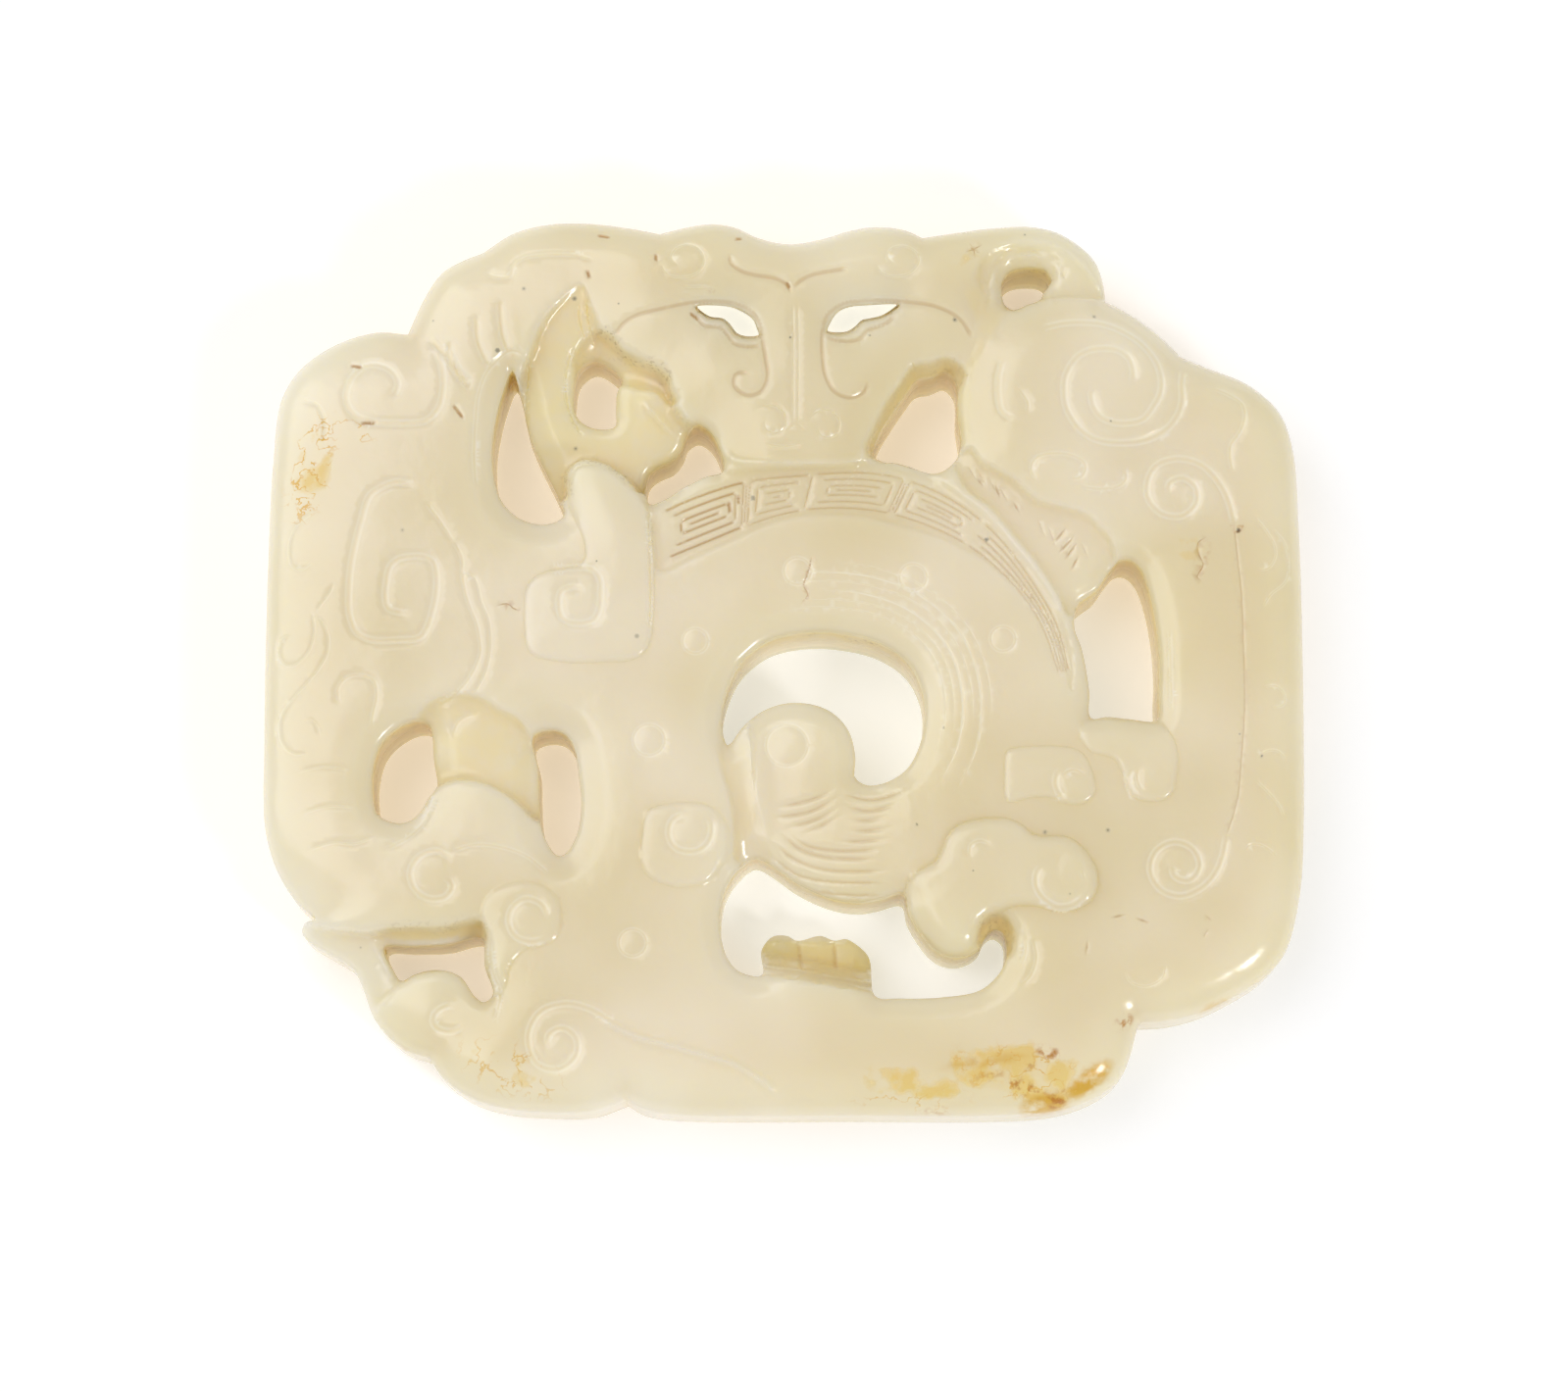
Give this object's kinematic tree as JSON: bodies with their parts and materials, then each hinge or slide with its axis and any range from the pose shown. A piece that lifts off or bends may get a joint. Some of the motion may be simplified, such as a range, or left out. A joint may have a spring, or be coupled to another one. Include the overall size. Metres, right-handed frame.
{
  "type": "jade dragon pendant",
  "caption": "Flat openwork jade pendant carved as a coiled dragon, its mask at the top; lies on its back or hangs on a cord through an opening.",
  "frame": {"origin": "middle of the plaque's outline, on its flat back", "axes": "+X to the viewer's right across the front, +Y towards the dragon's forehead, +Z out of the carved front"},
  "size_m": [0.068, 0.0592, 0.009],
  "materials": {
    "nephrite": "polished"
  },
  "bodies": {
    "root": {"jade_pendant": "nephrite"}
  },
  "joints": []
}
